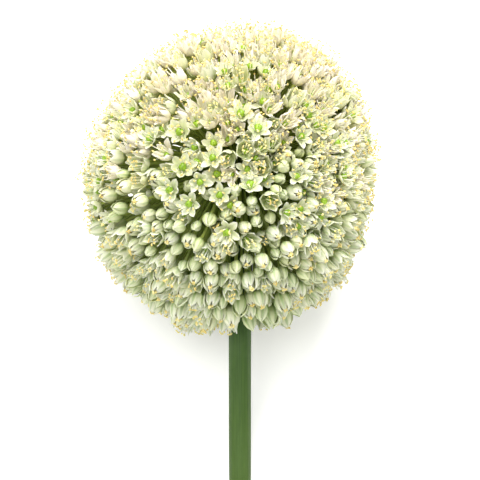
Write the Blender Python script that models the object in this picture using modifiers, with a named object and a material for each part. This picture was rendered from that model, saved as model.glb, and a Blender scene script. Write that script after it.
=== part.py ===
"""A white allium flower head on its cut stem, lying on a flat surface.

The head is a ball of star flowers. Each flower stands on a thin stalk, the stalks spring in small
groups from the swollen top of the stem, and the lowest flowers and the cut end carry the weight.
Everything is modelled in the head's own frame, whose +Z runs up the stem and whose origin is the
middle of the ball, and an empty then lays that frame down on the surface.
"""

import math
import random

import bmesh
import bpy
from mathutils import Matrix, Vector

# Driving dimensions, in metres.
HEAD_RADIUS = 0.0475  # across the stem, to the flowers' tips
HEAD_HALF_HEIGHT = 0.0505  # along the stem
HEAD_SHIFT = -0.0035  # the ball's middle beside the stem's axis, along X
HEAD_REST_HEIGHT = 0.0450  # the ball's middle above the surface: the flowers below give way
RUGGEDNESS = 0.0030  # how far short of the ball's surface a flower may stop

STEM_LENGTH = 0.1000  # from the middle of the ball to the cut
STEM_CUT_RADIUS = 0.00335
STEM_TOP_RADIUS = 0.0038
STEM_SIDES = 20
KNOB_RADIUS = 0.0075  # the swollen top that the stalks spring from
KNOB_ARC_STEP = math.radians(15)

FLOWER_COUNT = 440
CLUSTER_COUNT = 54
LAST_FLOWER_ANGLE = math.radians(169.5)  # from the crown, where the stem leaves the ball
LAST_BASE_ANGLE = math.radians(133.0)  # the same flower's stalk, on the knob
FLOWER_LENGTH = 0.0062
FLOWER_RADIUS = 0.0031  # at the widest ring
FLOWER_WIDEST = 0.55  # the widest ring's place along the flower
MOUTH_RADIUS = 0.0020
FLOWER_SIDES = 6  # one for each petal
STALK_SIDES = 3
STALK_BASE_RADIUS = 0.00025
STALK_TOP_RADIUS = 0.00042

PLATE_FLOOR = 0.0081  # from the knob's middle to the plate that joins a group's stalks
PLATE_THICKNESS = 0.0013
PLATE_SIDES = 6
PLATE_GAP = 0.0004  # between neighbouring plates
STALK_START = 0.0087  # inside the plate, from the knob's middle

CREAM_ABOVE = 0.5  # how far up the ball, from -1 to 1, the open cream flowers of the crown start
GREEN_BELOW = -0.3  # and the greener young ones around the stem end

GOLDEN_ANGLE = math.pi * (3 - math.sqrt(5))
SEED = 7
UP = Vector((0, 0, 1))


def lean():
    """The stem's slope, at which the ball rests and the lower rim of the cut touches the surface."""
    reach = math.hypot(STEM_LENGTH, STEM_CUT_RADIUS)
    return math.asin(HEAD_REST_HEIGHT / reach) - math.atan2(STEM_CUT_RADIUS, STEM_LENGTH)


def laid_down():
    """The matrix that takes the head's frame to the surface, with the stem towards -Y."""
    turn = Matrix.Rotation(lean() - math.pi / 2, 4, "X")
    return Matrix.Translation((0, 0, HEAD_REST_HEIGHT)) @ turn


def spiral_direction(index, count, last_angle):
    """One of count even directions between the crown and last_angle, along a spiral."""
    height = 1 - (index + 0.5) / count * (1 - math.cos(last_angle))
    across = math.sqrt(1 - height * height)
    around = index * GOLDEN_ANGLE
    return Vector((across * math.cos(around), across * math.sin(around), height))


def base_direction(direction):
    """Where a flower's stalk springs from: the knob leaves room for the stem below it."""
    angle = direction.angle(UP) * LAST_BASE_ANGLE / LAST_FLOWER_ANGLE
    flat = Vector((direction.x, direction.y, 0)).normalized()
    return flat * math.sin(angle) + UP * math.cos(angle)


def ball_reach(direction):
    """The distance from the knob's middle to the ball's surface in this direction."""
    across, along = HEAD_RADIUS**2, HEAD_HALF_HEIGHT**2
    a = (direction.x**2 + direction.y**2) / across + direction.z**2 / along
    b = -2 * direction.x * HEAD_SHIFT / across
    c = HEAD_SHIFT**2 / across - 1
    return (-b + math.sqrt(b * b - 4 * a * c)) / (2 * a)


def surface_reach(direction):
    """The furthest that a flower may reach in this direction and stay above the surface."""
    downward = -(laid_down().to_3x3() @ direction).z
    if downward <= 0:
        return math.inf
    sideways = math.sqrt(1 - downward * downward)
    past_widest = FLOWER_LENGTH * (1 - FLOWER_WIDEST)
    mouth = (HEAD_REST_HEIGHT - MOUTH_RADIUS * sideways) / downward
    widest = (HEAD_REST_HEIGHT - FLOWER_RADIUS * sideways) / downward + past_widest
    return min(mouth, widest)


def flower_reaches():
    """(direction, distance of the tip) of every flower in the ball's outer layer."""
    draw = random.Random(SEED)
    for index in range(FLOWER_COUNT):
        direction = spiral_direction(index, FLOWER_COUNT, LAST_FLOWER_ANGLE)
        free = ball_reach(direction) - RUGGEDNESS * draw.random()
        yield direction, min(free, surface_reach(direction))


def grouped_flowers():
    """The flowers of each group, as {group's direction: [(direction, distance)]}, crown first."""
    middles = [
        spiral_direction(index, CLUSTER_COUNT, LAST_FLOWER_ANGLE).freeze()
        for index in range(CLUSTER_COUNT)
    ]
    groups = {middle: [] for middle in middles}
    for direction, reach in flower_reaches():
        groups[max(middles, key=direction.dot)].append((direction, reach))
    return groups


def ring(centre, axis, radius, sides, spin):
    """Points around an axis, the first of them turned by spin."""
    frame = Matrix.Translation(centre) @ axis.to_track_quat("Z", "Y").to_matrix().to_4x4()
    angles = [spin + math.tau * side / sides for side in range(sides)]
    return [frame @ Vector((radius * math.cos(a), radius * math.sin(a), 0)) for a in angles]


def loft(shape, rings):
    """Adds one closed surface through rings of points, capped at both ends."""
    loops = []
    for points in rings:
        corners = [shape.verts.new(point) for point in points]
        ends = zip(corners, corners[1:] + corners[:1])
        loops.append([shape.edges.new(pair) for pair in ends])
    for first, second in zip(loops, loops[1:]):
        bmesh.ops.bridge_loops(shape, edges=first + second)
    for loop in (loops[0], loops[-1]):
        bmesh.ops.contextual_create(shape, geom=loop)


def add_flower(shape, base, direction, reach, spin):
    """A flower as one solid: a three-sided stalk that opens into a six-sided bell."""
    foot = direction * (reach - FLOWER_LENGTH)
    widest = direction * (reach - FLOWER_LENGTH * (1 - FLOWER_WIDEST))
    stalk = (foot - base).normalized()
    loft(
        shape,
        [
            ring(base, stalk, STALK_BASE_RADIUS, STALK_SIDES, spin),
            ring(foot, direction, STALK_TOP_RADIUS, STALK_SIDES, spin),
            ring(widest, direction, FLOWER_RADIUS, FLOWER_SIDES, spin),
            ring(direction * reach, direction, MOUTH_RADIUS, STALK_SIDES, spin),
        ],
    )


def plate_radius(middle, middles):
    """Half the way to the nearest neighbouring plate, less the gap."""
    height = PLATE_FLOOR + PLATE_THICKNESS
    nearest = min((middle - other).length for other in middles if other != middle)
    return (nearest * height - PLATE_GAP) / 2


def stalk_bases(middle, flowers, radius):
    """Each stalk's start: its place on the knob, drawn in until all of them fit on the plate."""
    bases = [base_direction(direction) * STALK_START for direction, _ in flowers]
    centre = middle * STALK_START
    room = radius * math.cos(math.pi / PLATE_SIDES) - 2 * STALK_BASE_RADIUS
    widest = max((base - centre).length for base in bases)
    return [centre + (base - centre) * min(1, room / widest) for base in bases]


def mesh_of(shape, name):
    bmesh.ops.recalc_face_normals(shape, faces=shape.faces)
    mesh = bpy.data.meshes.new(name)
    shape.to_mesh(mesh)
    shape.free()
    return mesh


def plate_mesh(name, radius):
    """The plate that a group's stalks spring from, a short prism standing on z = 0."""
    shape = bmesh.new()
    bmesh.ops.create_cone(
        shape,
        cap_ends=True,
        segments=PLATE_SIDES,
        radius1=radius,
        radius2=radius,
        depth=PLATE_THICKNESS,
        matrix=Matrix.Translation((0, 0, PLATE_THICKNESS / 2)),
    )
    return mesh_of(shape, name)


def flowers_mesh(name, flowers, bases, place):
    """All the flowers of one group, in the frame of its plate."""
    draw = random.Random(name)
    shape = bmesh.new()
    for (direction, reach), base in zip(flowers, bases):
        add_flower(shape, base, direction, reach, draw.uniform(0, math.tau))
    bmesh.ops.transform(shape, matrix=place.inverted(), verts=shape.verts)
    return mesh_of(shape, name)


def material(name, colour, roughness):
    made = bpy.data.materials.new(name)
    made.use_nodes = True
    shader = made.node_tree.nodes["Principled BSDF"]
    shader.inputs["Base Color"].default_value = (*colour, 1)
    shader.inputs["Roughness"].default_value = roughness
    shader.inputs["Metallic"].default_value = 0
    return made


def add_object(name, mesh, collection, parent):
    made = bpy.data.objects.new(name, mesh)
    collection.objects.link(made)
    made.parent = parent
    return made


def add_collection(name):
    made = bpy.data.collections.new(name)
    bpy.context.scene.collection.children.link(made)
    return made


def make_cluster(name, middle, middles, flowers, collections, parent, skin):
    """One group of flowers: its plate, with the flowers joined to it."""
    parts, joined = collections
    radius = plate_radius(middle, middles)
    aim = middle.to_track_quat("Z", "Y").to_matrix().to_4x4()
    place = Matrix.Translation(middle * PLATE_FLOOR) @ aim

    plate = add_object(name, plate_mesh(name, radius), parts, parent)
    plate.matrix_local = place
    plate.data.materials.append(skin)

    shape_name = f"{name}_flowers"
    bases = stalk_bases(middle, flowers, radius)
    shape = flowers_mesh(shape_name, flowers, bases, place)
    held = add_object(shape_name, shape, joined, parent)
    held.matrix_local = place
    held.hide_render = True
    held.display_type = "WIRE"

    union = plate.modifiers.new("join_flowers", "BOOLEAN")
    union.operation = "UNION"
    union.object = held


def make_clusters(collections, parent):
    """Every group, numbered from the crown down, in the colour of its part of the ball."""
    crown = material("floret_cream", (0.80, 0.74, 0.52), 0.6)
    sides = material("floret_white", (0.62, 0.62, 0.40), 0.6)
    under = material("floret_green_white", (0.44, 0.49, 0.29), 0.6)
    groups = grouped_flowers()
    middles = {direction: base_direction(direction) for direction in groups}
    for number, (direction, flowers) in enumerate(groups.items(), start=1):
        skin = crown if direction.z > CREAM_ABOVE else sides if direction.z > GREEN_BELOW else under
        name = f"floret_cluster_{number:02d}"
        middle = middles[direction]
        make_cluster(name, middle, middles.values(), flowers, collections, parent, skin)


def stem_profile():
    """(radius, height) from the knob's pole down to the middle of the cut."""
    points = []
    angle = 0
    while KNOB_RADIUS * math.sin(angle) > STEM_TOP_RADIUS or angle < math.pi / 2:
        points.append((KNOB_RADIUS * math.sin(angle), KNOB_RADIUS * math.cos(angle)))
        angle += KNOB_ARC_STEP
    neck = -math.sqrt(KNOB_RADIUS**2 - STEM_TOP_RADIUS**2)
    points += [(STEM_TOP_RADIUS, neck), (STEM_CUT_RADIUS, -STEM_LENGTH), (0, -STEM_LENGTH)]
    return points


def make_stem(parts, parent, skin):
    """The stem and its knob, grown as one piece: a turned profile."""
    points = [(radius, 0, height) for radius, height in stem_profile()]
    mesh = bpy.data.meshes.new("stem")
    mesh.from_pydata(points, [(i, i + 1) for i in range(len(points) - 1)], [])
    mesh.materials.append(skin)
    stem = add_object("stem", mesh, parts, parent)
    turn = stem.modifiers.new("turn", "SCREW")
    turn.steps = STEM_SIDES
    turn.render_steps = STEM_SIDES
    turn.use_merge_vertices = True
    turn.merge_threshold = 1e-5
    turn.use_smooth_shade = True


def centre_on_surface(parts, parent):
    """Moves the whole part so that the middle of its box, on the surface, is the origin."""
    bpy.context.view_layer.update()
    graph = bpy.context.evaluated_depsgraph_get()
    points = []
    for part in parts.objects:
        made = part.evaluated_get(graph)
        points += [made.matrix_world @ corner.co for corner in made.data.vertices]
    low = Vector([min(point[axis] for point in points) for axis in range(3)])
    high = Vector([max(point[axis] for point in points) for axis in range(3)])
    middle = (low + high) / 2
    parent.location -= Vector((middle.x, middle.y, low.z))


def build():
    for old in list(bpy.data.objects):
        bpy.data.objects.remove(old)
    parts = add_collection("allium_flower_head")
    joined = add_collection("shapes_joined_to_the_parts")
    parent = add_object("head_frame", None, bpy.context.scene.collection, None)
    parent.matrix_world = laid_down()
    make_stem(parts, parent, material("stem_green", (0.115, 0.195, 0.07), 0.5))
    make_clusters((parts, joined), parent)
    centre_on_surface(parts, parent)


build()
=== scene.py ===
"""The looks of a white allium flower head lying on its cut stem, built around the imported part."""

import math
import random

import bmesh
import bpy
import numpy as np
from mathutils import Matrix, Quaternion, Vector


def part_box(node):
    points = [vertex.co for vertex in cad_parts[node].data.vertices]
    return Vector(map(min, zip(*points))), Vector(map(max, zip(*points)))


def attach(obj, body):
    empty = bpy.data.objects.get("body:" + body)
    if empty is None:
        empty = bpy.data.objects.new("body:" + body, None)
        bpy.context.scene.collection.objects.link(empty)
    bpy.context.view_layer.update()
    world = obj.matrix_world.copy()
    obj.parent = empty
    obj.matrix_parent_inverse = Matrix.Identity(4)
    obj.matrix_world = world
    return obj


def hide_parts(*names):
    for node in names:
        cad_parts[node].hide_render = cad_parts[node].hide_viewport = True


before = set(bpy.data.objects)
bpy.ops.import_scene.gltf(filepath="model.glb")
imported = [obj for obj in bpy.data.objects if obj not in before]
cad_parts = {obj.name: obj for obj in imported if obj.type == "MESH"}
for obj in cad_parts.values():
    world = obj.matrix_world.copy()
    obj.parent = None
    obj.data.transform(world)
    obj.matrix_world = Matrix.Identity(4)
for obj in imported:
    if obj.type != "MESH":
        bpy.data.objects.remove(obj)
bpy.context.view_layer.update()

# ---------------------------------------------------------------------------------------------
# The scape: the flower's stem, grown in one piece with the swollen knob at its top that every
# stalk springs from. Juicy green tissue under a waxy skin, finely ribbed along its length and
# cut square with a knife. It gives the frame that the whole head is laid out in.

MM = 0.001
STEM_LENGTH = 100 * MM  # from the knob's middle to the cut
STEM_TOP_RADIUS = 3.8 * MM
STEM_CUT_RADIUS = 3.35 * MM
KNOB_RADIUS = 7.5 * MM
STEM_SIDES = 144
RIBS = 34

stem_low, stem_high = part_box("stem")
knob = Vector(((stem_low.x + stem_high.x) / 2, stem_high.y - KNOB_RADIUS, stem_high.z - KNOB_RADIUS))
reach_to_cut = math.hypot(STEM_LENGTH, STEM_CUT_RADIUS)
LEAN = math.asin(knob.z / reach_to_cut) - math.atan2(STEM_CUT_RADIUS, STEM_LENGTH)
HEAD_TURN = Matrix.Rotation(LEAN - math.pi / 2, 4, "X")
HEAD_PLACE = Matrix.Translation(knob) @ HEAD_TURN


def in_place(points):
    """Points of the head's own frame, whose +Z runs up the stem, taken to where the head lies."""
    matrix = np.array(HEAD_PLACE)
    return np.asarray(points, float) @ matrix[:3, :3].T + matrix[:3, 3]


def linear(hex_colour):
    """An sRGB hex colour as linear red, green, blue and alpha."""
    parts = [int(hex_colour[i : i + 2], 16) / 255 for i in (1, 3, 5)]
    return [p / 12.92 if p <= 0.04045 else ((p + 0.055) / 1.055) ** 2.4 for p in parts] + [1.0]


def add_node(tree, kind, inputs=None, **settings):
    """Adds a node with its settings; each input is set to a value or linked from a socket."""
    made = tree.nodes.new(kind)
    for name, value in settings.items():
        setattr(made, name, value)
    for key, value in (inputs or {}).items():
        socket = made.inputs[key]
        if isinstance(value, bpy.types.NodeSocket):
            tree.links.new(value, socket)
        else:
            socket.default_value = value
    return made


def add_piece(name, points, faces, finish, record_slot):
    """A smooth mesh piece from points in place, riding on the part's one body."""
    mesh = bpy.data.meshes.new(name)
    mesh.from_pydata([tuple(p) for p in points], [], faces)
    mesh.shade_smooth()
    mesh.materials.append(finish)
    piece = bpy.data.objects.new(name, mesh)
    bpy.context.scene.collection.objects.link(piece)
    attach(piece, "root")
    return piece


def scape_profile():
    """(radius, height, how deep the ribs are) from the knob's pole down to the rim of the cut."""
    neck_angle = math.pi - math.asin(STEM_TOP_RADIUS / KNOB_RADIUS) - 0.08
    knob_rows = 18
    rows = []
    for i in range(1, knob_rows + 1):
        angle = neck_angle * i / knob_rows
        rows.append((KNOB_RADIUS * math.sin(angle), KNOB_RADIUS * math.cos(angle), 0.0))
    top = rows[-1][1] - 1.6 * MM
    stem_rows = 46
    for i in range(stem_rows + 1):
        t = i / stem_rows
        height = top + (-STEM_LENGTH + 0.15 * MM - top) * t
        swell = 0.05 * MM * math.sin(9 * t) + 0.25 * MM * math.exp(-t * 14)
        rows.append((STEM_TOP_RADIUS + (STEM_CUT_RADIUS - STEM_TOP_RADIUS) * t + swell, height, 1.0))
    rows.append((rows[-1][0] - 0.12 * MM, -STEM_LENGTH, 0.6))
    return rows


def scape_mesh():
    points = [(0, 0, KNOB_RADIUS)]
    profile = scape_profile()
    for radius, height, rib in profile:
        for side in range(STEM_SIDES):
            angle = math.tau * side / STEM_SIDES
            wander = 5 * height / STEM_LENGTH
            ribs = 0.010 * math.cos(RIBS * angle) + 0.007 * math.cos(11 * angle + wander)
            r = radius * (1 + rib * ribs)
            points.append((r * math.cos(angle), r * math.sin(angle), height))
    rings = len(profile)
    for inner in (0.86, 0.55, 0.25):
        sink = 0.12 * MM if inner < 0.8 else 0.02 * MM
        for side in range(STEM_SIDES):
            angle = math.tau * side / STEM_SIDES
            r = profile[-1][0] * inner
            points.append((r * math.cos(angle), r * math.sin(angle), -STEM_LENGTH + sink))
        rings += 1
    points.append((0, 0, -STEM_LENGTH + 0.15 * MM))
    faces = []
    for side in range(STEM_SIDES):
        after = (side + 1) % STEM_SIDES
        faces.append((0, 1 + side, 1 + after))
        for ring in range(rings - 1):
            a, b = 1 + ring * STEM_SIDES, 1 + (ring + 1) * STEM_SIDES
            faces.append((a + side, b + side, b + after, a + after))
        last = 1 + (rings - 1) * STEM_SIDES
        faces.append((last + side, len(points) - 1, last + after))
    return in_place(points), faces


def waxy_stem():
    """Living stem with a waxy bloom: soft mid green, matt, streaked finely along its length,
    yellower towards the cut, and pale pith where the knife went through."""
    finish = bpy.data.materials.new("waxy_green_stem")
    finish.use_nodes = True
    tree = finish.node_tree
    shader = tree.nodes["Principled BSDF"]
    coords = add_node(tree, "ShaderNodeTexCoord").outputs["Object"]
    back = HEAD_PLACE.inverted()
    own = add_node(
        tree,
        "ShaderNodeMapping",
        {"Vector": coords, "Location": back.translation, "Rotation": back.to_euler()},
    ).outputs[0]
    stretched = add_node(
        tree, "ShaderNodeMapping", {"Vector": own, "Scale": (2600, 2600, 60)}
    ).outputs[0]
    streaks = add_node(
        tree, "ShaderNodeTexNoise", {"Vector": stretched, "Scale": 1.0, "Detail": 3.0}
    ).outputs[0]
    clouds = add_node(
        tree, "ShaderNodeTexNoise", {"Vector": own, "Scale": 160.0, "Detail": 2.0}
    ).outputs[0]
    ramp = add_node(tree, "ShaderNodeValToRGB", {0: streaks})
    ramp.color_ramp.elements[0].position = 0.33
    ramp.color_ramp.elements[0].color = linear("#30501A")
    ramp.color_ramp.elements[1].position = 0.68
    ramp.color_ramp.elements[1].color = linear("#426024")
    bloom = add_node(
        tree, "ShaderNodeMapRange", {0: clouds, 1: 0.45, 2: 0.8, 3: 0.0, 4: 0.45}
    ).outputs[0]
    bloomed = add_node(
        tree,
        "ShaderNodeMix",
        {0: bloom, 6: ramp.outputs[0], 7: linear("#4C6836")},
        data_type="RGBA",
    ).outputs[2]
    apart = add_node(tree, "ShaderNodeSeparateXYZ", {0: own})
    to_cut = add_node(
        tree,
        "ShaderNodeMapRange",
        {0: apart.outputs["Z"], 1: -40 * MM, 2: -STEM_LENGTH, 3: 0.0, 4: 0.5},
    ).outputs[0]
    yellowed = add_node(
        tree,
        "ShaderNodeMix",
        {0: to_cut, 6: bloomed, 7: linear("#4C6022")},
        data_type="RGBA",
    ).outputs[2]
    at_cut = add_node(
        tree, "ShaderNodeMath", {0: apart.outputs["Z"], 1: -STEM_LENGTH + 0.14 * MM}, operation="LESS_THAN"
    ).outputs[0]
    flat = add_node(
        tree, "ShaderNodeVectorMath", {0: own, 1: (1, 1, 0)}, operation="MULTIPLY"
    ).outputs[0]
    radius = add_node(tree, "ShaderNodeVectorMath", {0: flat}, operation="LENGTH").outputs["Value"]
    pith = add_node(tree, "ShaderNodeValToRGB", {
        0: add_node(
            tree, "ShaderNodeMapRange", {0: radius, 1: 0.0, 2: STEM_CUT_RADIUS}
        ).outputs[0]
    })
    pith.color_ramp.elements[0].position = 0.55
    pith.color_ramp.elements[0].color = linear("#DCE3BC")
    pith.color_ramp.elements[1].position = 0.93
    pith.color_ramp.elements[1].color = linear("#8FA765")
    skin = add_node(
        tree, "ShaderNodeMix", {0: at_cut, 6: yellowed, 7: pith.outputs[0]}, data_type="RGBA"
    ).outputs[2]
    tree.links.new(skin, shader.inputs["Base Color"])
    shader.inputs["Roughness"].default_value = 0.5
    shader.inputs["Specular IOR Level"].default_value = 0.3
    shader.inputs["Subsurface Weight"].default_value = 0.15
    shader.inputs["Subsurface Radius"].default_value = (0.6 * MM, 1.0 * MM, 0.3 * MM)
    shader.inputs["Subsurface Scale"].default_value = 1.0
    bump = add_node(
        tree, "ShaderNodeBump", {"Height": streaks, "Strength": 0.25, "Distance": 0.1 * MM}
    )
    tree.links.new(bump.outputs[0], shader.inputs["Normal"])
    return finish


scape = add_piece("scape", *scape_mesh(), waxy_stem(), "stem_green")
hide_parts("stem")

# ---------------------------------------------------------------------------------------------
# Where each floret stands: an outer layer, evenly spread over the ball as on the real head, and
# younger florets that fill the gaps between and under them. The crown opened first, so florets
# are oldest there and still in bud around the stem; below, they are pressed flat by the surface.

HEAD_RADIUS = 47.5 * MM
HEAD_HALF_HEIGHT = 50.5 * MM
HEAD_SHIFT = -3.5 * MM
RUGGEDNESS = 3.0 * MM
CROWN_LEAN = 5.0 * MM  # how far the crown leans to the right
OUTER_FLORETS = 440
INNER_FLORETS = 720
INNER_TRIES = 24  # random directions tried for each inner floret
INNER_DEPTHS = (0.8, 5.2)  # how far inner florets stay below the ball's surface, mm
LAST_FLORET_ANGLE = math.radians(169.5)
LAST_BASE_ANGLE = math.radians(133.0)
CAD_FLORET_LENGTH = 6.2 * MM
CAD_FLORET_RADIUS = 3.1 * MM
CAD_MOUTH_RADIUS = 2.0 * MM
CAD_WIDEST = 0.55
GOLDEN_ANGLE = math.pi * (3 - math.sqrt(5))
SHAPES_EACH = 4  # different shapes of every kind of floret
TILES = 8  # the tints lie on a square of this many tiles a side
TILE_EDGE = 0.1  # the margin inside a tile, as a part of its side
TILE_INSIDE = 1 - 2 * TILE_EDGE

KINDS = ("bud", "opening", "bell", "star", "ripe")
HEIGHTS = dict(bud=5.5, opening=5.9, bell=6.0, star=4.3, ripe=5.2)  # foot to tips, mm
TILTS = dict(bud=9, opening=11, bell=13, star=17, ripe=19)  # degrees away from straight out

# Above each ripeness, the kinds that stand there, each with the running total of the shares.
SHARES = (
    (0.58, (("ripe", 0.78), ("bell", 0.9), ("star", 1.0))),
    (0.12, (("star", 0.42), ("ripe", 0.8), ("bell", 1.0))),
    (-0.38, (("star", 0.43), ("bell", 0.66), ("opening", 0.85), ("bud", 1.0))),
    (-math.inf, (("bell", 0.32), ("opening", 0.7), ("bud", 1.0))),
)
INNER_YOUNGER = 0.22  # how much less ripe the inner florets are


def spiral_direction(index, count, last_angle):
    """One of many evenly spread directions, wound from the crown down towards the stem."""
    height = 1 - (index + 0.5) / count * (1 - math.cos(last_angle))
    across = math.sqrt(1 - height * height)
    around = index * GOLDEN_ANGLE
    return Vector((across * math.cos(around), across * math.sin(around), height))


def ball_reach(direction):
    """The distance from the knob's middle to the ball's surface in this direction."""
    across, along = HEAD_RADIUS**2, HEAD_HALF_HEIGHT**2
    a = (direction.x**2 + direction.y**2) / across + direction.z**2 / along
    b = -2 * direction.x * HEAD_SHIFT / across
    c = HEAD_SHIFT**2 / across - 1
    return (-b + math.sqrt(b * b - 4 * a * c)) / (2 * a)


def surface_reach(direction):
    """The furthest that a floret reaches in this direction before it meets the surface."""
    downward = -(HEAD_TURN.to_3x3() @ direction).z
    if downward <= 0:
        return math.inf
    sideways = math.sqrt(1 - downward * downward)
    past_widest = CAD_FLORET_LENGTH * (1 - CAD_WIDEST)
    mouth = (knob.z - CAD_MOUTH_RADIUS * sideways) / downward
    widest = (knob.z - CAD_FLORET_RADIUS * sideways) / downward + past_widest
    return min(mouth, widest)


def outer_places():
    """Direction and reach of each outer floret, the same as the part's own."""
    draw = random.Random(7)
    for index in range(OUTER_FLORETS):
        direction = spiral_direction(index, OUTER_FLORETS, LAST_FLORET_ANGLE)
        free = ball_reach(direction) - RUGGEDNESS * draw.random()
        yield direction, min(free, surface_reach(direction))


def inner_places(taken):
    """Directions in the widest gaps that are left, each the best of a few random ones."""
    draw = random.Random(11)
    lowest = math.cos(LAST_FLORET_ANGLE)
    taken = [np.array(direction) for direction in taken]
    for _ in range(INNER_FLORETS):
        best = None
        for _ in range(INNER_TRIES):
            height = draw.uniform(lowest, 1)
            around = draw.uniform(0, math.tau)
            across = math.sqrt(1 - height * height)
            tried = np.array((across * math.cos(around), across * math.sin(around), height))
            nearest = (np.array(taken) @ tried).max()
            if best is None or nearest < best[0]:
                best = (nearest, tried)
        taken.append(best[1])
        direction = Vector(best[1])
        free = min(ball_reach(direction), surface_reach(direction))
        yield direction, free - draw.uniform(*INNER_DEPTHS) * MM


def kind_of(ripeness, outer, draw):
    """The kind of a floret: ripeness runs from -1 at the stem to 1 at the crown."""
    if not outer:
        ripeness -= INNER_YOUNGER
    shares = next(shares for above, shares in SHARES if ripeness > above)
    drawn = draw.random()
    return next(kind for kind, share in shares if drawn < share)


def all_florets():
    """Every floret with its kind, direction, foot, aim, size, spin, shape and tint."""
    draw = random.Random(3)
    outer = list(outer_places())
    inner = list(inner_places([direction for direction, _ in outer]))
    florets = []
    for number, (direction, reach) in enumerate(outer + inner):
        is_outer = number < len(outer)
        ripeness = direction.z + draw.gauss(0, 0.17)
        kind = kind_of(ripeness, is_outer, draw)
        size = draw.uniform(0.92, 1.1) if is_outer else draw.uniform(0.82, 1.0)
        size *= 1.24 if is_outer and direction.z < -0.85 else 1.0
        lean = math.radians(draw.gauss(0, TILTS[kind]))
        side = direction.orthogonal().normalized()
        side.rotate(Quaternion(direction, draw.uniform(0, math.tau)))
        axis = Quaternion(side, lean) @ direction
        warm = min(TILES - 1, max(0, round(3.5 + 3.2 * ripeness + draw.gauss(0, 0.9))))
        florets.append(dict(
            kind=kind,
            direction=direction,
            axis=axis,
            foot=direction * (reach - HEIGHTS[kind] * size * MM)
            + Vector((CROWN_LEAN * max(direction.z, 0) ** 1.5, 0, 0)),
            size=size,
            spin=draw.uniform(0, math.tau),
            shape=draw.randrange(SHAPES_EACH),
            tint=warm + TILES * draw.randrange(TILES),
        ))
    return florets


florets = all_florets()

# ---------------------------------------------------------------------------------------------
# Stalks: one thin green stalk to each floret, springing from the knob and curving out to it, a
# little thicker at both ends. Smooth, juicy and paler towards the floret.

STALK_RADIUS = 0.36 * MM
STALK_SIDES = 5
STALK_POINTS = 9
SHARP_EDGE = math.radians(58)  # edges that turn by more than this stay crisp
PRESSED_FROM = 1.5 * MM  # what hangs lower than this is bent
PRESSED_TO = 0.05 * MM  # and nothing goes lower than this


def stalk_line(floret):
    """Points and thicknesses from just inside the knob to the floret's foot."""
    direction = floret["direction"]
    angle = direction.angle(Vector((0, 0, 1))) * LAST_BASE_ANGLE / LAST_FLORET_ANGLE
    flat = Vector((direction.x, direction.y, 0)).normalized()
    base = flat * math.sin(angle) + Vector((0, 0, math.cos(angle)))
    start, end = base * (KNOB_RADIUS - 0.3 * MM), floret["foot"]
    span = (end - start).length
    leave, arrive = base * span * 0.9, floret["axis"] * span * 0.75
    line = []
    for i in range(STALK_POINTS):
        t = i / (STALK_POINTS - 1)
        h1, h2 = 2 * t**3 - 3 * t**2 + 1, t**3 - 2 * t**2 + t
        h3, h4 = -2 * t**3 + 3 * t**2, t**3 - t**2
        point = start * h1 + leave * h2 + end * h3 + arrive * h4
        thick = STALK_RADIUS * (1 + 0.35 * math.exp(-t * 9) + 0.55 * math.exp((t - 1) * 16))
        line.append((point, thick * floret["size"]))
    return line


def named(tree, name, kind):
    """The socket of an attribute that the mesh carries under this name."""
    return add_node(
        tree, "GeometryNodeInputNamedAttribute", {"Name": name}, data_type=kind
    ).outputs["Attribute"]


def stalk_tree():
    """Tubes along poly-lines, as thick as the lines' own attribute says."""
    tree = bpy.data.node_groups.new("stalks_on_lines", "GeometryNodeTree")
    tree.interface.new_socket("Lines", in_out="INPUT", socket_type="NodeSocketGeometry")
    tree.interface.new_socket("Sides", in_out="INPUT", socket_type="NodeSocketInt")
    tree.interface.new_socket("Finish", in_out="INPUT", socket_type="NodeSocketMaterial")
    tree.interface.new_socket("Geometry", in_out="OUTPUT", socket_type="NodeSocketGeometry")
    given = add_node(tree, "NodeGroupInput").outputs
    curve = add_node(tree, "GeometryNodeMeshToCurve", {"Mesh": given["Lines"]}).outputs[0]
    thick = named(tree, "thick", "FLOAT")
    along = add_node(tree, "GeometryNodeSplineParameter").outputs["Factor"]
    curve = add_node(
        tree,
        "GeometryNodeStoreNamedAttribute",
        {"Geometry": curve, "Name": "along", "Value": along},
        data_type="FLOAT",
        domain="POINT",
    ).outputs[0]
    circle = add_node(
        tree, "GeometryNodeCurvePrimitiveCircle", {"Resolution": given["Sides"], "Radius": 1.0}
    ).outputs[0]
    tube = add_node(
        tree,
        "GeometryNodeCurveToMesh",
        {"Curve": curve, "Profile Curve": circle, "Scale": thick, "Fill Caps": True},
    ).outputs[0]
    return finish_tree(tree, tube, given["Finish"], "along", "along")


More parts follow.
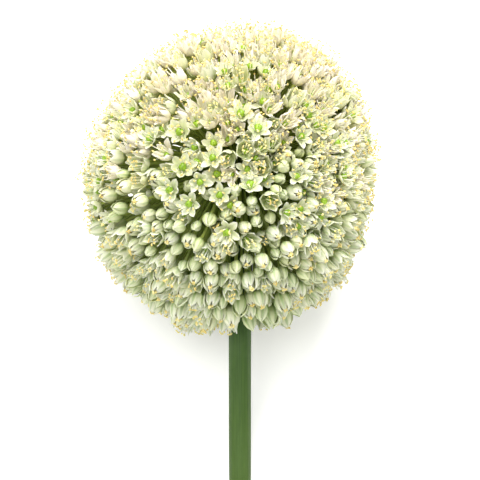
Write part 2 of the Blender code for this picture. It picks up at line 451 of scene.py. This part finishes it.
def finish_tree(tree, geometry, finish, across_name, along_name):
    """Ends a tree: lays the surface's own coordinates on its floret's tile, then the material."""
    tint = named(tree, "tint", "FLOAT")
    row = add_node(
        tree,
        "ShaderNodeMath",
        {0: add_node(tree, "ShaderNodeMath", {0: tint, 1: TILES}, operation="DIVIDE").outputs[0]},
        operation="FLOOR",
    ).outputs[0]
    column = add_node(
        tree,
        "ShaderNodeMath",
        {0: row, 1: -TILES, 2: tint},
        operation="MULTIPLY_ADD",
    ).outputs[0]
    corner = add_node(tree, "ShaderNodeCombineXYZ", {"X": column, "Y": row}).outputs[0]
    own = add_node(
        tree,
        "ShaderNodeCombineXYZ",
        {"X": named(tree, across_name, "FLOAT"), "Y": named(tree, along_name, "FLOAT")},
    ).outputs[0]
    inset = add_node(
        tree,
        "ShaderNodeVectorMath",
        {0: own, 1: (TILE_INSIDE, TILE_INSIDE, 0), 2: (TILE_EDGE, TILE_EDGE, 0)},
        operation="MULTIPLY_ADD",
    ).outputs[0]
    placed = add_node(
        tree, "ShaderNodeVectorMath", {0: inset, 1: corner}, operation="ADD"
    ).outputs[0]
    scaled = add_node(
        tree, "ShaderNodeVectorMath", {0: placed, "Scale": 1 / TILES}, operation="SCALE"
    ).outputs[0]
    stored = add_node(
        tree,
        "GeometryNodeStoreNamedAttribute",
        {"Geometry": geometry, "Name": "OFBake", "Value": scaled},
        data_type="FLOAT2",
        domain="CORNER",
    ).outputs[0]
    real = add_node(tree, "GeometryNodeRealizeInstances", {"Geometry": stored}).outputs[0]
    done = add_node(
        tree, "GeometryNodeSetMaterial", {"Geometry": real, "Material": finish}
    ).outputs[0]
    add_node(tree, "NodeGroupOutput", {0: done})
    return tree


def run_tree(name, source, tree, values):
    """Runs a tree on a mesh and keeps the result as a plain mesh piece."""
    holder = bpy.data.objects.new(name, source)
    bpy.context.scene.collection.objects.link(holder)
    growth = holder.modifiers.new("growth", "NODES")
    growth.node_group = tree
    for item in tree.interface.items_tree:
        if item.in_out == "INPUT" and item.name in values:
            growth[item.identifier] = values[item.name]
    graph = bpy.context.evaluated_depsgraph_get()
    mesh = bpy.data.meshes.new_from_object(holder.evaluated_get(graph))
    mesh.name = name
    holder.modifiers.clear()
    holder.data = mesh
    bpy.data.meshes.remove(source)
    for extra in ("tint", "across", "along", "thick", "turn", "size", "shape"):
        if extra in mesh.attributes:
            mesh.attributes.remove(mesh.attributes[extra])
    press_on_surface(mesh)
    mesh.shade_smooth()
    mesh.set_sharp_from_angle(angle=SHARP_EDGE)
    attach(holder, "root")
    return holder


def press_on_surface(mesh):
    """Bends what would hang below the surface flat onto it, ever more the lower it hangs."""
    points = np.empty(len(mesh.vertices) * 3, np.float32)
    mesh.vertices.foreach_get("co", points)
    heights = points[2::3]
    low = heights < PRESSED_FROM
    span = PRESSED_FROM - PRESSED_TO
    heights[low] = PRESSED_TO + span * np.exp((heights[low] - PRESSED_FROM) / span)
    mesh.vertices.foreach_set("co", points)
    mesh.update()


def set_attribute(mesh, name, kind, values):
    """Gives every point of a mesh its value under this name."""
    made = mesh.attributes.new(name, kind, "POINT")
    field = "vector" if kind == "FLOAT_VECTOR" else "value"
    made.data.foreach_set(field, np.asarray(values).ravel())


def stalk_lines():
    """All stalks as poly-lines in one mesh, with their thicknesses and tints."""
    points, edges, thick, tint = [], [], [], []
    for floret in florets:
        line = stalk_line(floret)
        first = len(points)
        edges += [(first + i, first + i + 1) for i in range(len(line) - 1)]
        points += [point for point, _ in line]
        thick += [radius for _, radius in line]
        tint += [float(floret["tint"])] * len(line)
    mesh = bpy.data.meshes.new("stalk_lines")
    mesh.from_pydata([tuple(p) for p in in_place(points)], edges, [])
    set_attribute(mesh, "thick", "FLOAT", thick)
    set_attribute(mesh, "tint", "FLOAT", tint)
    return mesh


def tiled_colours(name, low_end, high_end, warm, shade, roughness, glow):
    """A finish on the florets' own tiles: two colours along the surface, warmer from tile to tile
    one way and duller the other. Returns the material, its tree, the place on the surface, the
    ripeness and the colour."""
    finish = bpy.data.materials.new(name)
    finish.use_nodes = True
    tree = finish.node_tree
    shader = tree.nodes["Principled BSDF"]
    place = add_node(tree, "ShaderNodeUVMap", uv_map="OFBake").outputs[0]
    tiles = add_node(
        tree, "ShaderNodeVectorMath", {0: place, "Scale": float(TILES)}, operation="SCALE"
    ).outputs[0]
    tile = add_node(tree, "ShaderNodeVectorMath", {0: tiles}, operation="FLOOR").outputs[0]
    inside = add_node(tree, "ShaderNodeVectorMath", {0: tiles}, operation="FRACTION").outputs[0]
    spread, back = 1 / TILE_INSIDE, -TILE_EDGE / TILE_INSIDE
    own = add_node(
        tree,
        "ShaderNodeVectorMath",
        {0: inside, 1: (spread, spread, 0), 2: (back, back, 0)},
        operation="MULTIPLY_ADD",
    ).outputs[0]
    own = add_node(tree, "ShaderNodeSeparateXYZ", {0: own})
    tile = add_node(tree, "ShaderNodeSeparateXYZ", {0: tile})
    along = add_node(
        tree, "ShaderNodeMix", {0: own.outputs["Y"], 6: linear(low_end), 7: linear(high_end)},
        data_type="RGBA",
    ).outputs[2]
    ripe = add_node(
        tree, "ShaderNodeMapRange", {0: tile.outputs["X"], 1: 0.0, 2: TILES - 1.0, 3: 0.0, 4: 1.0}
    ).outputs[0]
    warmed = add_node(
        tree, "ShaderNodeMix", {0: ripe, 6: along, 7: linear(warm)},
        data_type="RGBA", blend_type="MULTIPLY",
    ).outputs[2]
    dull = add_node(
        tree, "ShaderNodeMapRange", {0: tile.outputs["Y"], 1: 0.0, 2: TILES - 1.0, 3: 0.0, 4: 1.0}
    ).outputs[0]
    shaded = add_node(
        tree, "ShaderNodeMix", {0: dull, 6: warmed, 7: linear(shade)},
        data_type="RGBA", blend_type="MULTIPLY",
    ).outputs[2]
    tree.links.new(shaded, shader.inputs["Base Color"])
    shader.inputs["Roughness"].default_value = roughness
    shader.inputs["Subsurface Weight"].default_value = glow
    shader.inputs["Subsurface Radius"].default_value = (0.5 * MM, 0.5 * MM, 0.3 * MM)
    shader.inputs["Subsurface Scale"].default_value = 1.0
    return finish, tree, own, ripe, shaded


def juicy_stalk():
    """Young green stalk tissue: translucent yellow-green, darker at the knob end."""
    return tiled_colours(
        "juicy_green_stalk", "#8CA63A", "#BCCB78", "#FAF4D0", "#E2E4D0", 0.45, 0.1
    )[0]


stalks = run_tree(
    "stalks", stalk_lines(), stalk_tree(), {"Sides": STALK_SIDES, "Finish": juicy_stalk()}
)
clusters = [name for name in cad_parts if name.startswith("floret_cluster")]
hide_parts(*clusters)

# ---------------------------------------------------------------------------------------------
# Petals: three outer and three inner to each floret, thin and soft, with a green rib down the
# middle. In a bud they are wrapped round each other, then they open to a bell and to a star, and
# on the ripe florets of the crown their edges pucker.

ROWS = 6  # points along a petal
COLUMNS = (-1.0, -0.55, 0.0, 0.55, 1.0)
PETAL_THICKNESS = 0.13 * MM

# For each kind: the middle line as (out from the floret's axis, up along it), in mm, base first,
# half the width at each of its points, and how tightly the petal is rolled, in mm or None where
# it wraps round the floret's own axis.
PETALS = dict(
    bud=([(0.3, 0), (1.15, 0.55), (1.75, 1.6), (1.85, 3.0), (1.35, 4.4), (0.2, 5.5)],
         [0.4, 0.95, 1.3, 1.25, 0.85, 0.12], None),
    opening=([(0.35, 0), (1.45, 0.5), (2.25, 1.7), (2.4, 3.3), (1.9, 4.9), (0.85, 6.0)],
             [0.45, 1.15, 1.6, 1.6, 1.2, 0.2], None),
    bell=([(0.4, 0), (1.6, 0.5), (2.5, 1.7), (2.75, 3.2), (2.75, 4.8), (3.1, 6.0)],
          [0.5, 1.2, 1.6, 1.65, 1.2, 0.15], None),
    star=([(0.4, 0), (1.3, 0.35), (2.2, 1.0), (3.0, 1.75), (3.6, 2.3), (4.0, 2.9)],
          [0.5, 1.0, 1.3, 1.3, 0.9, 0.15], 1.9),
    ripe=([(0.4, 0), (1.5, 0.5), (2.3, 1.5), (2.65, 2.7), (2.7, 3.9), (3.1, 4.9)],
          [0.5, 1.0, 1.3, 1.25, 0.9, 0.15], 1.5),
)
PUCKER = dict(bud=0.03, opening=0.06, bell=0.1, star=0.16, ripe=0.3)  # waves at the edges, mm
OPEN_JITTER = dict(bud=2, opening=4, bell=7, star=10, ripe=12)  # degrees


def petal_sheet(kind, inner, draw):
    """Points and their inward directions over one petal that stands on +X."""
    line, halves, roll = PETALS[kind]
    line = np.array(line, float)
    swing = math.radians(draw.gauss(0, OPEN_JITTER[kind]) - (5 if inner else 0))
    stretch = draw.uniform(0.93, 1.07) * (0.96 if inner else 1.0)
    turn = np.array([[math.cos(swing), -math.sin(swing)], [math.sin(swing), math.cos(swing)]])
    grow = np.linspace(0, 1, ROWS)[:, None]
    line = line[0] + (line - line[0]) * stretch
    line = line + ((line - line[0]) @ turn - (line - line[0])) * grow
    line[:, 0] *= 0.93 if inner and roll is None else 1.0
    tangent = np.gradient(line, axis=0)
    tangent /= np.linalg.norm(tangent, axis=1)[:, None]
    phase, wave = draw.uniform(0, math.tau), PUCKER[kind]
    twist = draw.gauss(0, 0.12) if roll else draw.gauss(0, 0.03)
    points, normals = [], []
    for row in range(ROWS):
        out, up = line[row]
        t = row / (ROWS - 1)
        half = halves[row] * (0.94 if inner else 1.0)
        radius = roll or max(out, 0.7)
        inward = np.array((-tangent[row][1], 0.0, tangent[row][0]))
        for u in COLUMNS:
            angle = u * half / radius
            side = radius * math.sin(angle) + twist * t * half
            lift = radius * (1 - math.cos(angle)) - 0.14 * (1 - abs(u)) ** 2
            lift += wave * u * u * math.sin(5.5 * t + phase * (1 if u > 0 else 1.7))
            lift += twist * u * half * 0.8 * t
            points.append(np.array((out, side, up)) + inward * lift)
            normals.append(inward * math.cos(angle) - np.array((0, math.sin(angle), 0)))
    return np.array(points) * MM, np.array(normals)


def shell(points, normals, thin):
    """Points, faces and (across, along) of a thin closed shell over a petal's points."""
    n, width = len(points), len(COLUMNS)
    rows = n // width
    edge = np.array([0.45 if abs(u) == 1 else 1.0 for u in COLUMNS] * rows)[:, None]
    both = np.concatenate([points + normals * thin / 2 * edge, points - normals * thin / 2 * edge])
    faces = []
    for r in range(rows - 1):
        for c in range(width - 1):
            a = r * width + c
            faces.append((a, a + 1, a + 1 + width, a + width))
            faces.append((n + a, n + a + width, n + a + 1 + width, n + a + 1))
    ring = list(range(width)) + [r * width + width - 1 for r in range(1, rows)]
    ring += [n - 1 - c for c in range(1, width)] + [r * width for r in range(rows - 2, 0, -1)]
    for a, b in zip(ring, ring[1:] + ring[:1]):
        faces.append((a, n + a, n + b, b))
    across = [(u + 1) / 2 for _ in range(rows) for u in COLUMNS] * 2
    along = [r / (rows - 1) for r in range(rows) for _ in COLUMNS] * 2
    return both, faces, across, along


def shape_object(name, collection, solids):
    """One shape made of closed solids, each given as points, faces, across and along."""
    points, faces, across, along = [], [], [], []
    for solid_points, solid_faces, solid_across, solid_along in solids:
        first = len(points)
        points += [tuple(p) for p in solid_points]
        faces += [tuple(first + i for i in face) for face in solid_faces]
        across += list(solid_across)
        along += list(solid_along)
    mesh = bpy.data.meshes.new(name)
    mesh.from_pydata(points, [], faces)
    build = bmesh.new()
    build.from_mesh(mesh)
    bmesh.ops.recalc_face_normals(build, faces=build.faces)
    build.to_mesh(mesh)
    build.free()
    set_attribute(mesh, "across", "FLOAT", across)
    set_attribute(mesh, "along", "FLOAT", along)
    collection.objects.link(bpy.data.objects.new(name, mesh))


def turned(points, angle):
    """Points turned about the floret's axis."""
    c, s = math.cos(angle), math.sin(angle)
    return np.asarray(points) @ np.array([[c, s, 0], [-s, c, 0], [0, 0, 1]])


def whorl(kind, draw):
    """The six petals of one floret, the inner three between and inside the outer three."""
    for number in range(6):
        inner = number % 2 == 1
        points, normals = petal_sheet(kind, inner, draw)
        angle = number * math.tau / 6 + draw.gauss(0, 0.06)
        yield shell(turned(points, angle), turned(normals, angle), PETAL_THICKNESS)


def places_tree():
    """Shapes set on places, each place with its own turn, size, shape and tint."""
    tree = bpy.data.node_groups.new("florets_on_places", "GeometryNodeTree")
    tree.interface.new_socket("Places", in_out="INPUT", socket_type="NodeSocketGeometry")
    tree.interface.new_socket("Shapes", in_out="INPUT", socket_type="NodeSocketCollection")
    tree.interface.new_socket("Finish", in_out="INPUT", socket_type="NodeSocketMaterial")
    tree.interface.new_socket("Geometry", in_out="OUTPUT", socket_type="NodeSocketGeometry")
    given = add_node(tree, "NodeGroupInput").outputs
    shapes = add_node(
        tree,
        "GeometryNodeCollectionInfo",
        {"Collection": given["Shapes"], "Separate Children": True, "Reset Children": True},
    ).outputs[0]

    set_out = add_node(
        tree,
        "GeometryNodeInstanceOnPoints",
        {
            "Points": given["Places"],
            "Instance": shapes,
            "Pick Instance": True,
            "Instance Index": named(tree, "shape", "INT"),
            "Rotation": named(tree, "turn", "FLOAT_VECTOR"),
            "Scale": named(tree, "size", "FLOAT"),
        },
    ).outputs[0]
    real = add_node(tree, "GeometryNodeRealizeInstances", {"Geometry": set_out}).outputs[0]
    return finish_tree(tree, real, given["Finish"], "across", "along")


def places_mesh(chosen, shape_of):
    """One point a floret, with its turn, size, shape and tint."""
    mesh = bpy.data.meshes.new("places")
    mesh.from_pydata([tuple(p) for p in in_place([f["foot"] for f in chosen])], [], [])
    turns = []
    for floret in chosen:
        aim = floret["axis"].to_track_quat("Z", "Y") @ Quaternion((0, 0, 1), floret["spin"])
        turns.append((HEAD_TURN.to_quaternion() @ aim).to_euler())
    set_attribute(mesh, "turn", "FLOAT_VECTOR", [tuple(turn) for turn in turns])
    set_attribute(mesh, "size", "FLOAT", [f["size"] for f in chosen])
    set_attribute(mesh, "shape", "INT", [shape_of(f) for f in chosen])
    set_attribute(mesh, "tint", "FLOAT", [float(f["tint"]) for f in chosen])
    return mesh


def soft_petal(name, low_end, high_end, rib, rib_strength, warm):
    """Petal tissue, thin and full of air: near white, soft and faintly shining, greener towards
    its foot, with a green rib and fine veins along it."""
    finish, tree, own, ripe, colour = tiled_colours(
        name, low_end, high_end, warm, "#F0F1EA", 0.5, 0.35
    )
    centred = add_node(
        tree, "ShaderNodeMath", {0: own.outputs["X"], 1: 0.5}, operation="SUBTRACT"
    ).outputs[0]
    off = add_node(tree, "ShaderNodeMath", {0: centred}, operation="ABSOLUTE").outputs[0]
    middle = add_node(
        tree, "ShaderNodeMapRange", {0: off, 1: 0.2, 2: 0.05, 3: 0.0, 4: 1.0},
        interpolation_type="SMOOTHSTEP",
    ).outputs[0]
    fading = add_node(
        tree, "ShaderNodeMapRange", {0: own.outputs["Y"], 1: 1.0, 2: 0.2, 3: 0.35, 4: 1.0}
    ).outputs[0]
    young = add_node(
        tree, "ShaderNodeMapRange", {0: ripe, 1: 1.0, 2: 0.0, 3: 0.25, 4: 1.0}
    ).outputs[0]
    strength = middle
    for factor in (fading, young, rib_strength):
        strength = add_node(
            tree, "ShaderNodeMath", {0: strength, 1: factor}, operation="MULTIPLY"
        ).outputs[0]
    ribbed = add_node(
        tree, "ShaderNodeMix", {0: strength, 6: colour, 7: linear(rib)}, data_type="RGBA"
    ).outputs[2]
    waves = add_node(tree, "ShaderNodeMath", {0: off, 1: 75.0}, operation="MULTIPLY").outputs[0]
    waves = add_node(tree, "ShaderNodeMath", {0: waves}, operation="COSINE").outputs[0]
    veins = add_node(
        tree, "ShaderNodeMapRange", {0: waves, 1: 0.1, 2: 1.0, 3: 0.0, 4: 0.3}
    ).outputs[0]
    veined = add_node(
        tree, "ShaderNodeMix", {0: veins, 6: ribbed, 7: linear(rib)}, data_type="RGBA"
    ).outputs[2]
    tree.links.new(veined, tree.nodes["Principled BSDF"].inputs["Base Color"])
    return finish


# For each kind: the finish's name, the colours at the petal's foot and at its tip, the rib's
# colour and strength, and the tone that the ripest florets are warmed with.
PETAL_FINISHES = dict(
    bud=("closed_bud_petal", "#B4C67A", "#EDF0D0", "#6F9440", 0.9, "#FFFAE4"),
    opening=("opening_petal", "#C6D48E", "#F7F6E2", "#729644", 0.9, "#FFFAE6"),
    bell=("bell_petal", "#D2DE9C", "#FEFDF2", "#7C9F4E", 0.85, "#FFFAE8"),
    star=("star_petal", "#E2E9BC", "#FFFEF8", "#A6BE74", 0.5, "#FFF9E6"),
    ripe=("ripe_petal", "#F0EBCC", "#FFFBF4", "#D6D4A8", 0.3, "#FFF6EC"),
)

places_on = places_tree()
for kind in KINDS:
    draw = random.Random(f"{kind} petals")
    shapes = bpy.data.collections.new(f"{kind}_petal_shapes")
    for number in range(SHAPES_EACH):
        shape_object(f"{kind}_petals_{number}", shapes, whorl(kind, draw))
    chosen = [floret for floret in florets if floret["kind"] == kind]
    petals = run_tree(
        f"{kind}_petals",
        places_mesh(chosen, lambda floret: floret["shape"]),
        places_on,
        {"Shapes": shapes, "Finish": soft_petal(*PETAL_FINISHES[kind])},
    )
    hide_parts(*clusters)

# ---------------------------------------------------------------------------------------------
# Stamens: six to an open floret. White threads, broad at the foot and fine at the end, that stand
# out past the petals; on each swings an anther, a small bag of pollen, yellow when fresh and pale
# tan on the ripe florets.

OPEN_KINDS = ("opening", "bell", "star", "ripe")
# Each thread's foot, bend and end, as (out, up) in mm, and how far its end strays.
THREADS = dict(
    opening=((0.6, 0.4), (1.1, 3.2), (0.4, 6.1), 0.22),
    bell=((0.7, 0.5), (1.2, 3.4), (1.2, 6.4), 0.45),
    star=((0.9, 0.4), (1.3, 2.6), (2.3, 5.0), 0.6),
    ripe=((0.9, 0.4), (1.3, 3.0), (2.2, 6.4), 0.9),
)


def tube(line, sizes, sides=4):
    """A closed tube along points, with its (half-width, half-depth) at each of them."""
    line = np.asarray(line, float)
    tangent = np.gradient(line, axis=0)
    points = []
    for centre, direction, (wide, deep) in zip(line, tangent, sizes):
        direction = direction / np.linalg.norm(direction)
        upright = abs(direction[2]) >= 0.9
        side = np.cross(direction, centre + (1e-6, 0, 0) if upright else (0.02, 0.01, 1.0))
        side /= max(np.linalg.norm(side), 1e-9)
        up = np.cross(side, direction)
        for k in range(sides):
            angle = math.tau * (k + 0.5) / sides
            points.append(centre + side * wide * math.cos(angle) + up * deep * math.sin(angle))
    rings = len(line)
    faces = [tuple(range(sides)), tuple(range(len(points) - 1, len(points) - 1 - sides, -1))]
    for ring in range(rings - 1):
        for k in range(sides):
            a, b = ring * sides + k, ring * sides + (k + 1) % sides
            faces.append((a, b, b + sides, a + sides))
    across = [k / sides for _ in range(rings) for k in range(sides)]
    along = [ring / (rings - 1) for ring in range(rings) for _ in range(sides)]
    return points, faces, across, along


def thread_ends(kind, draw):
    """Foot, bend and end of the six threads of one floret, in metres."""
    foot, bend, end, stray = THREADS[kind]
    for number in range(6):
        angle = number * math.tau / 6 + draw.gauss(0, 0.12)
        low = 0.0 if number % 2 else -0.5
        tip = (end[0] + draw.gauss(0, stray * 0.6), end[1] + low + draw.gauss(0, stray * 0.5))
        sway = draw.gauss(0, stray * 0.5)
        line = [(foot[0], 0, foot[1]), (bend[0], sway / 2, bend[1]), (tip[0], sway, tip[1])]
        yield turned(line, angle) * MM


def thread(foot, bend, end):
    """A flat-footed thread that bends once on its way to its end."""
    line = [
        foot * (1 - t) ** 2 + bend * 2 * t * (1 - t) + end * t * t for t in (0, 0.35, 0.7, 1)
    ]
    wide = (0.45, 0.28, 0.16, 0.11)
    return tube(line, [(w * MM, min(w, 0.13) * MM) for w in wide])


def anther(end, draw):
    """A small plump bag, set across the end of its thread."""
    aim = Vector((draw.gauss(0, 1), draw.gauss(0, 1), draw.gauss(0, 0.5))).normalized()
    half = np.array(aim) * draw.uniform(0.4, 0.58) * MM
    line = [end + half * k for k in (-1, -0.5, 0.5, 1)]
    return tube(line, [(w * MM, w * MM) for w in (0.1, 0.29, 0.29, 0.1)])


def thread_finish():
    """Filament tissue: clear white threads, greenish at the foot, slightly glossy."""
    return tiled_colours(
        "white_filament", "#E2E8C4", "#FFFDF4", "#FFFAEC", "#F6F6F0", 0.4, 0.3
    )[0]


def pollen_bag():
    """Anther skin dusted with pollen: matt, yellow while fresh, pale tan as it empties."""
    return tiled_colours(
        "dusty_anther", "#EDE088", "#F5EDB4", "#FAEEDC", "#EEE4CC", 0.8, 0.1
    )[0]


threads = bpy.data.collections.new("thread_shapes")
bags = bpy.data.collections.new("anther_shapes")
for order, kind in enumerate(OPEN_KINDS):
    draw = random.Random(f"{kind} stamens")
    for number in range(SHAPES_EACH):
        ends = list(thread_ends(kind, draw))
        label = f"{order}_{number}"
        shape_object(f"threads_{label}", threads, [thread(*points) for points in ends])
        shape_object(f"anthers_{label}", bags, [anther(points[2], draw) for points in ends])

open_florets = [floret for floret in florets if floret["kind"] in OPEN_KINDS]


def open_shape(floret):
    """Which of the stamen shapes, sorted by name, belongs to this floret."""
    return OPEN_KINDS.index(floret["kind"]) * SHAPES_EACH + floret["shape"]


filaments = run_tree(
    "filaments",
    places_mesh(open_florets, open_shape),
    places_on,
    {"Shapes": threads, "Finish": thread_finish()},
)
anthers = run_tree(
    "anthers",
    places_mesh(open_florets, open_shape),
    places_on,
    {"Shapes": bags, "Finish": pollen_bag()},
)

# ---------------------------------------------------------------------------------------------
# Ovaries: the bright green three-lobed seed box in the middle of each open floret, glossy as a
# pea, with one fine style standing on it.

OVARY_KINDS = ("bell", "star", "ripe")
OVARY_RADIUS = dict(bell=0.95, star=1.2, ripe=0.85)  # mm
OVARY_SIDES = 12
OVARY_ROWS = 7


def ovary(kind):
    """A three-lobed ball, slightly sunk at its top."""
    size = OVARY_RADIUS[kind] * MM
    middle = 0.35 * MM + size
    points = [(0, 0, middle - size * 0.9)]
    for row in range(1, OVARY_ROWS):
        polar = math.pi * (1 - row / OVARY_ROWS)
        for side in range(OVARY_SIDES):
            angle = math.tau * side / OVARY_SIDES
            lobe = 1 + 0.13 * math.cos(3 * angle) * math.sin(polar)
            r = size * math.sin(polar) * lobe
            height = middle + size * 0.9 * math.cos(polar)
            points.append((r * math.cos(angle), r * math.sin(angle), height))
    points.append((0, 0, middle + size * 0.8))
    faces = []
    last = len(points) - 1
    for side in range(OVARY_SIDES):
        after = (side + 1) % OVARY_SIDES
        faces.append((0, 1 + after, 1 + side))
        faces.append((last, last - OVARY_SIDES + side, last - OVARY_SIDES + after))
        for row in range(OVARY_ROWS - 2):
            a = 1 + row * OVARY_SIDES
            faces.append((a + side, a + after, a + OVARY_SIDES + after, a + OVARY_SIDES + side))
    heights = np.array([p[2] for p in points])
    along = (heights - heights.min()) / np.ptp(heights)
    return points, faces, [0.5] * len(points), along


def style(kind):
    """The fine thread that stands on the ovary."""
    top = 0.35 * MM + OVARY_RADIUS[kind] * 1.75 * MM
    line = [(0, 0, top), (0.05 * MM, 0, top + 1.2 * MM), (0, 0.08 * MM, top + 2.2 * MM)]
    return tube(line, [(0.13 * MM, 0.13 * MM), (0.08 * MM, 0.08 * MM), (0.12 * MM, 0.12 * MM)])


def pea_green_painted_highlight():
    """Ovary skin: taut and moist like a pea, bright yellow-green, lightening from its foot to a painted
    highlight on its top.
    """
    # the lighter top colour, #9CC43A, is a painted highlight laid into the skin's own colour
    return tiled_colours(
        "moist_ovary", "#7FA828", "#9CC43A", "#FFF2B0", "#D2DCA0", 0.32, 0.2
    )[0]


seed_boxes = bpy.data.collections.new("ovary_shapes")
for order, kind in enumerate(OVARY_KINDS):
    shape_object(f"ovary_{order}", seed_boxes, [ovary(kind), style(kind)])
ovaries = run_tree(
    "ovaries",
    places_mesh(
        [floret for floret in florets if floret["kind"] in OVARY_KINDS],
        lambda floret: OVARY_KINDS.index(floret["kind"]),
    ),
    places_on,
    {"Shapes": seed_boxes, "Finish": pea_green_painted_highlight()},
)

# ---------------------------------------------------------------------------------------------
# The studio: a pale plain floor, a large soft lamp over the crown of the head, a second one over
# its middle, and a camera that looks square onto the lying stem.

FLOOR_SIDE = 6.0
FLOOR_LIFT = 0.3  # how much the floor is lightened where the camera sees it
SKY_LEVEL = 0.78  # the light from all round

def pale_floor():
    """Matt white paper sweep, which stays white to the camera and keeps the head's soft shadow."""
    finish = bpy.data.materials.new("white_paper_floor")
    finish.use_nodes = True
    tree = finish.node_tree
    shader = tree.nodes["Principled BSDF"]
    shader.inputs["Base Color"].default_value = linear("#F4F4F2")
    shader.inputs["Roughness"].default_value = 0.9
    shader.inputs["Specular IOR Level"].default_value = 0.1
    shader.inputs["Emission Color"].default_value = (1, 1, 1, 1)
    seen = add_node(tree, "ShaderNodeLightPath")
    lift = add_node(
        tree,
        "ShaderNodeMath",
        {0: seen.outputs["Is Camera Ray"], 1: FLOOR_LIFT},
        operation="MULTIPLY",
    ).outputs[0]
    tree.links.new(lift, shader.inputs["Emission Strength"])
    return finish


bpy.ops.mesh.primitive_plane_add(size=FLOOR_SIDE)
floor = bpy.context.object
floor.name = "floor"
floor.data.materials.append(pale_floor())

world = bpy.data.worlds.new("studio")
world.use_nodes = True
sky = world.node_tree.nodes["Background"]
sky.inputs["Color"].default_value = (1, 1, 1, 1)
looked_at = add_node(world.node_tree, "ShaderNodeLightPath").outputs["Is Camera Ray"]
level = add_node(
    world.node_tree, "ShaderNodeMapRange", {0: looked_at, 3: SKY_LEVEL, 4: 1.0}
).outputs[0]
world.node_tree.links.new(level, sky.inputs["Strength"])
bpy.context.scene.world = world


def soft_lamp(name, aim, distance, size, watts):
    """A square area lamp that faces the head from this direction."""
    lamp = bpy.data.lights.new(name, "AREA")
    lamp.size = size
    lamp.energy = watts
    stand = bpy.data.objects.new(name, lamp)
    direction = Vector(aim).normalized()
    stand.location = knob + direction * distance
    stand.rotation_euler = direction.to_track_quat("Z", "Y").to_euler()
    bpy.context.scene.collection.objects.link(stand)


soft_lamp("key", (0.1, 0.62, 0.9), 1.1, 0.7, 16)
soft_lamp("fill", (-0.3, -0.15, 1.2), 1.3, 0.8, 8)

VIEW_DISTANCE = 0.80
VIEW_WIDTH = 152 * MM  # what the frame spans at the head
AIM_BELOW = 18.7 * MM  # the frame's middle, down the stem from the knob
along_stem = HEAD_TURN.to_3x3() @ Vector((0, 0, 1))
square_on = HEAD_TURN.to_3x3() @ Vector((0, -1, 0))
lens = bpy.data.cameras.new("camera")
lens.sensor_width = 36
lens.lens = lens.sensor_width * VIEW_DISTANCE / VIEW_WIDTH
camera = bpy.data.objects.new("camera", lens)
camera.location = knob - along_stem * AIM_BELOW + square_on * VIEW_DISTANCE
camera.rotation_euler = square_on.to_track_quat("Z", "Y").to_euler()
bpy.context.scene.collection.objects.link(camera)
bpy.context.scene.camera = camera
bpy.context.scene.view_settings.view_transform = "Standard"
